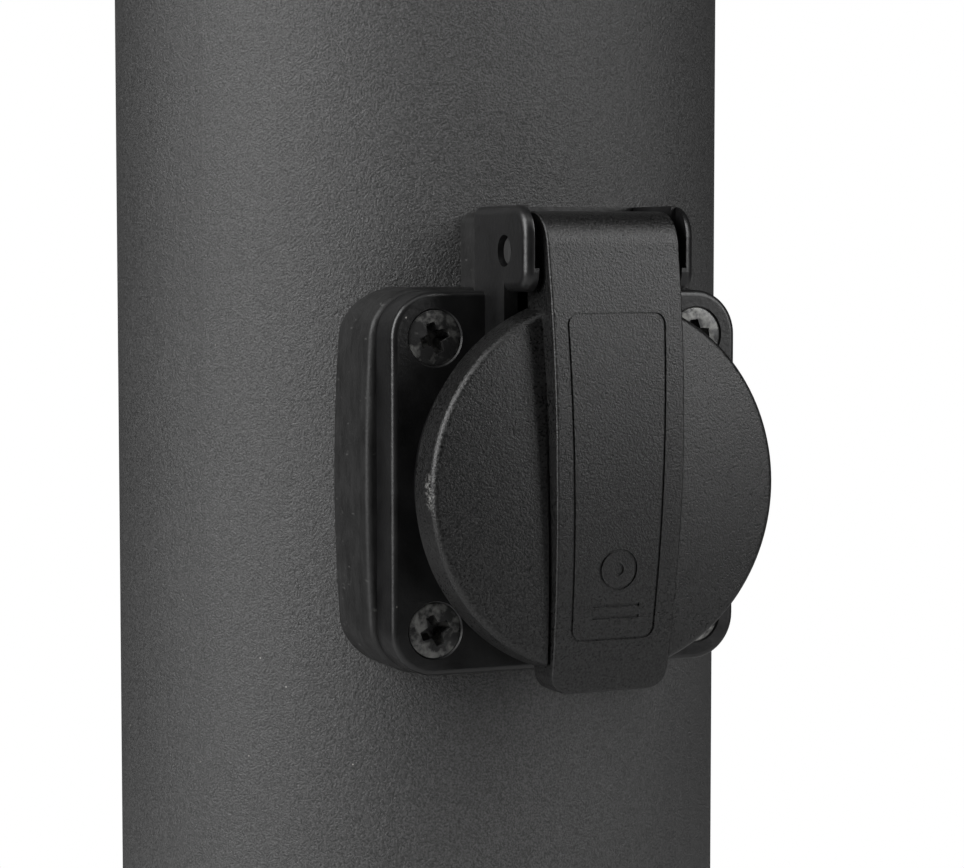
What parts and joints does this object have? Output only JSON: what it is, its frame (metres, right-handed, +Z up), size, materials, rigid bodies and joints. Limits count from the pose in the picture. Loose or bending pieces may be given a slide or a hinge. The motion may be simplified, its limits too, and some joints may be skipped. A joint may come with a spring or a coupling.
{
  "type": "charging post with socket outlet",
  "caption": "Slim round floor-standing post with a weatherproof round plug socket behind a sprung hinged lid, on a square flange with a rubber saddle",
  "frame": {"origin": "centre of the foot's underside, on the post's axis", "axes": "+Z up along the post; -Y outwards from the socket; +X to the right hand of someone who faces the socket"},
  "size_m": [0.16, 0.16, 0.65],
  "materials": {
    "post_coating": "fine-grained matt powder coat, dark grey",
    "foot_coating": "fine-grained matt powder coat, dark grey",
    "cap_coating": "fine-grained matt powder coat, dark grey",
    "stainless": "plain stainless steel",
    "zinc_steel": "zinc plated",
    "seal_rubber": "soft black seal rubber",
    "gasket_rubber": "matt black moulded rubber",
    "gland_plastic": "black polyamide",
    "breaker_plastic": "light grey moulding",
    "lever_plastic": "dark blue lever",
    "button_plastic": "yellow button",
    "earth_plastic": "green moulding",
    "brass": "plain brass",
    "tinned_copper": "tinned copper",
    "socket_plastic": "black polyamide, satin",
    "lid_plastic": "black polyamide, spark-eroded grain",
    "insert_plastic": "black moulding",
    "shutter_plastic": "grey slide plastic",
    "carrier_plastic": "dark moulding",
    "black_screw": "blackened steel, glossy",
    "pin_steel": "blackened steel, satin",
    "spring_steel": "spring wire",
    "brown_insulation": "brown insulation",
    "blue_insulation": "blue insulation",
    "earth_insulation": "green and yellow insulation"
  },
  "bodies": {
    "post": {"post_tube": "post_coating", "foot_plate": "foot_coating", "spigot": "foot_coating", "base_screws": "stainless", "top_cap": "cap_coating", "top_cap_seal": "seal_rubber", "cap_screws": "stainless", "cover_frame": "zinc_steel", "rear_cover_seal": "seal_rubber", "rear_cover": "post_coating", "rear_cover_screws": "stainless", "gland_plate": "zinc_steel", "gland_plate_screws": "stainless", "gland_body": "gland_plastic", "gland_grommet": "seal_rubber", "gland_locknut": "gland_plastic", "gland_dome_nut": "gland_plastic", "chassis_plate": "zinc_steel", "din_rail": "zinc_steel", "rail_screws": "zinc_steel", "rcbo_case": "breaker_plastic", "rcbo_terminal_screws": "zinc_steel", "earth_terminal": "earth_plastic", "earth_stud": "brass", "bond_lug": "tinned_copper", "earth_nuts": "brass", "saddle_gasket": "gasket_rubber", "socket_housing": "socket_plastic", "flange_screws": "black_screw", "nut_plate": "zinc_steel", "socket_insert": "insert_plastic", "contact_carrier": "carrier_plastic", "live_contact": "brass", "neutral_contact": "brass", "earth_clip": "tinned_copper", "socket_back_cover": "carrier_plastic", "back_cover_screws": "zinc_steel", "hinge_pin": "pin_steel", "lid_spring": "spring_steel", "wire_live": "brown_insulation", "wire_neutral": "blue_insulation", "wire_earth": "earth_insulation", "wire_bond": "earth_insulation"},
    "lid": {"lid": "lid_plastic", "lid_seal": "seal_rubber"},
    "shutter": {"shutter": "shutter_plastic"},
    "breaker_lever": {"rcbo_lever": "lever_plastic"},
    "test_button": {"rcbo_test_button": "button_plastic"}
  },
  "joints": [
    {"name": "lid_hinge", "type": "hinge", "parent": "post", "child": "lid", "pos_m": [0, -0.0594, 0.5602], "axis": [-1, 0, 0], "range_deg": [0, 110], "stiffness_Nm_per_rad": 0.016, "springref_deg": -108.86, "deforming": ["lid_spring"]},
    {"name": "shutter_turn", "type": "hinge", "parent": "post", "child": "shutter", "pos_m": [0, -0.03965, 0.53], "axis": [0, -1, 0], "range_deg": [0, 42], "stiffness_Nm_per_rad": 0.004},
    {"name": "lever_flip", "type": "hinge", "parent": "post", "child": "breaker_lever", "pos_m": [0, 0.0287, 0.29], "axis": [-1, 0, 0], "range_deg": [0, 64]},
    {"name": "test_press", "type": "slide", "parent": "post", "child": "test_button", "axis": [0, -1, 0], "range_m": [0, 0.0015], "stiffness_N_per_m": 600}
  ]
}
